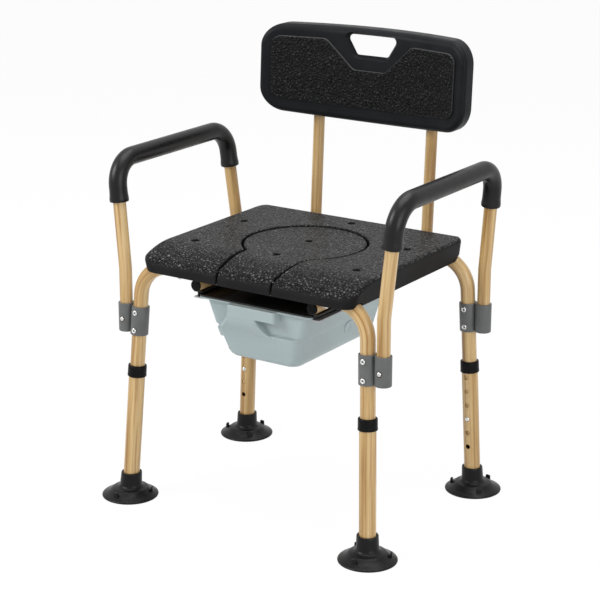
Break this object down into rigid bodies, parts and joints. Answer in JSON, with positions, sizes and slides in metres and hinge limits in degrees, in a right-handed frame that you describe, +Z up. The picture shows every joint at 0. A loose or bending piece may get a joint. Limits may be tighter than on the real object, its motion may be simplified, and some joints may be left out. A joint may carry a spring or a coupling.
{
  "type": "commode chair",
  "caption": "Commode and shower chair with wood-look tube frame, lift-off padded arms, plugged horseshoe seat, wrap-round backrest, pull-out pan and suction feet on telescopic legs.",
  "frame": {"origin": "middle of the chair's bounding box at floor level", "axes": "+Z up, -Y the way the sitter faces, +X to the right as seen from the front"},
  "size_m": [0.584, 0.4766, 0.7815],
  "materials": {
    "wood_grain_tube": "satin printed wood grain",
    "grip": "satin",
    "foot_rubber": "matte",
    "black_plastic": "satin",
    "runner": "gloss black",
    "connector_plastic": "satin",
    "seat_skin": "pebble grain",
    "back_shell": "satin",
    "pan_plastic": "semi-gloss",
    "cover_plastic": "gloss",
    "steel": "bright"
  },
  "bodies": {
    "frame": {"front_arch_tube": "wood_grain_tube", "rear_arch_tube": "wood_grain_tube", "left_rail_post_tube": "wood_grain_tube", "left_rail_plug": "black_plastic", "left_pan_runner": "runner", "right_rail_post_tube": "wood_grain_tube", "right_rail_plug": "black_plastic", "right_pan_runner": "runner", "arm_connector_front_left": "connector_plastic", "lower_rivet_front_left": "steel", "upper_rivet_front_left": "steel", "seat_screw_front_left": "steel", "arm_connector_front_right": "connector_plastic", "lower_rivet_front_right": "steel", "upper_rivet_front_right": "steel", "seat_screw_front_right": "steel", "arm_connector_rear_left": "connector_plastic", "lower_rivet_rear_left": "steel", "upper_rivet_rear_left": "steel", "seat_screw_rear_left": "steel", "arm_connector_rear_right": "connector_plastic", "lower_rivet_rear_right": "steel", "upper_rivet_rear_right": "steel", "seat_screw_rear_right": "steel", "seat_pad": "seat_skin", "backrest_shell": "back_shell", "backrest_pad": "seat_skin", "back_screw_lower_left": "steel", "back_screw_upper_left": "steel", "back_screw_lower_right": "steel", "back_screw_upper_right": "steel"},
    "leg_front_left": {"lower_leg_front_left": "wood_grain_tube", "leg_collar_front_left": "black_plastic", "suction_foot_front_left": "foot_rubber"},
    "leg_button_body_front_left": {"leg_button_front_left": "steel"},
    "leg_front_right": {"lower_leg_front_right": "wood_grain_tube", "leg_collar_front_right": "black_plastic", "suction_foot_front_right": "foot_rubber"},
    "leg_button_body_front_right": {"leg_button_front_right": "steel"},
    "leg_rear_left": {"lower_leg_rear_left": "wood_grain_tube", "leg_collar_rear_left": "black_plastic", "suction_foot_rear_left": "foot_rubber"},
    "leg_button_body_rear_left": {"leg_button_rear_left": "steel"},
    "leg_rear_right": {"lower_leg_rear_right": "wood_grain_tube", "leg_collar_rear_right": "black_plastic", "suction_foot_rear_right": "foot_rubber"},
    "leg_button_body_rear_right": {"leg_button_rear_right": "steel"},
    "arm_left": {"left_arm_tube": "wood_grain_tube", "left_arm_grip": "grip"},
    "arm_button_body_left": {"left_arm_button": "steel"},
    "arm_right": {"right_arm_tube": "wood_grain_tube", "right_arm_grip": "grip"},
    "arm_button_body_right": {"right_arm_button": "steel"},
    "lid": {"seat_lid": "seat_skin"},
    "pan": {"collection_pan": "pan_plastic"},
    "cover": {"pan_cover": "cover_plastic"}
  },
  "joints": [
    {"name": "leg_height_front_left", "type": "slide", "parent": "frame", "child": "leg_front_left", "axis": [-0.0488, -0.0629, -0.9968], "range_m": [-0.0508, 0.0762], "deforming": ["leg_button_front_left"]},
    {"name": "leg_button_press_front_left", "type": "slide", "parent": "frame", "child": "leg_button_body_front_left", "axis": [0, -1, 0], "range_m": [0, 0.0045], "stiffness_N_per_m": 1500},
    {"name": "leg_height_front_right", "type": "slide", "parent": "frame", "child": "leg_front_right", "axis": [0.0488, -0.0629, -0.9968], "range_m": [-0.0508, 0.0762], "deforming": ["leg_button_front_right"]},
    {"name": "leg_button_press_front_right", "type": "slide", "parent": "frame", "child": "leg_button_body_front_right", "axis": [0, -1, 0], "range_m": [0, 0.0045], "stiffness_N_per_m": 1500},
    {"name": "leg_height_rear_left", "type": "slide", "parent": "frame", "child": "leg_rear_left", "axis": [-0.0489, 0.0144, -0.9987], "range_m": [-0.0508, 0.0762], "deforming": ["leg_button_rear_left"]},
    {"name": "leg_button_press_rear_left", "type": "slide", "parent": "frame", "child": "leg_button_body_rear_left", "axis": [0, 1, 0], "range_m": [0, 0.0045], "stiffness_N_per_m": 1500},
    {"name": "leg_height_rear_right", "type": "slide", "parent": "frame", "child": "leg_rear_right", "axis": [0.0489, 0.0144, -0.9987], "range_m": [-0.0508, 0.0762], "deforming": ["leg_button_rear_right"]},
    {"name": "leg_button_press_rear_right", "type": "slide", "parent": "frame", "child": "leg_button_body_rear_right", "axis": [0, 1, 0], "range_m": [0, 0.0045], "stiffness_N_per_m": 1500},
    {"name": "arm_lift_left", "type": "slide", "parent": "frame", "child": "arm_left", "axis": [0, 0, 1], "range_m": [0, 0.06], "deforming": ["left_arm_button"]},
    {"name": "arm_button_press_left", "type": "slide", "parent": "arm_left", "child": "arm_button_body_left", "axis": [0, 1, 0], "range_m": [0, 0.0045], "stiffness_N_per_m": 1500},
    {"name": "arm_lift_right", "type": "slide", "parent": "frame", "child": "arm_right", "axis": [0, 0, 1], "range_m": [0, 0.06], "deforming": ["right_arm_button"]},
    {"name": "arm_button_press_right", "type": "slide", "parent": "arm_right", "child": "arm_button_body_right", "axis": [0, 1, 0], "range_m": [0, 0.0045], "stiffness_N_per_m": 1500},
    {"name": "lid_lift", "type": "slide", "parent": "frame", "child": "lid", "axis": [0, 0, 1], "range_m": [0, 0.15]},
    {"name": "pan_slide", "type": "slide", "parent": "frame", "child": "pan", "axis": [0, -1, 0], "range_m": [0, 0.3]},
    {"name": "cover_slide", "type": "slide", "parent": "pan", "child": "cover", "axis": [0, -1, 0], "range_m": [0, 0.3]}
  ]
}
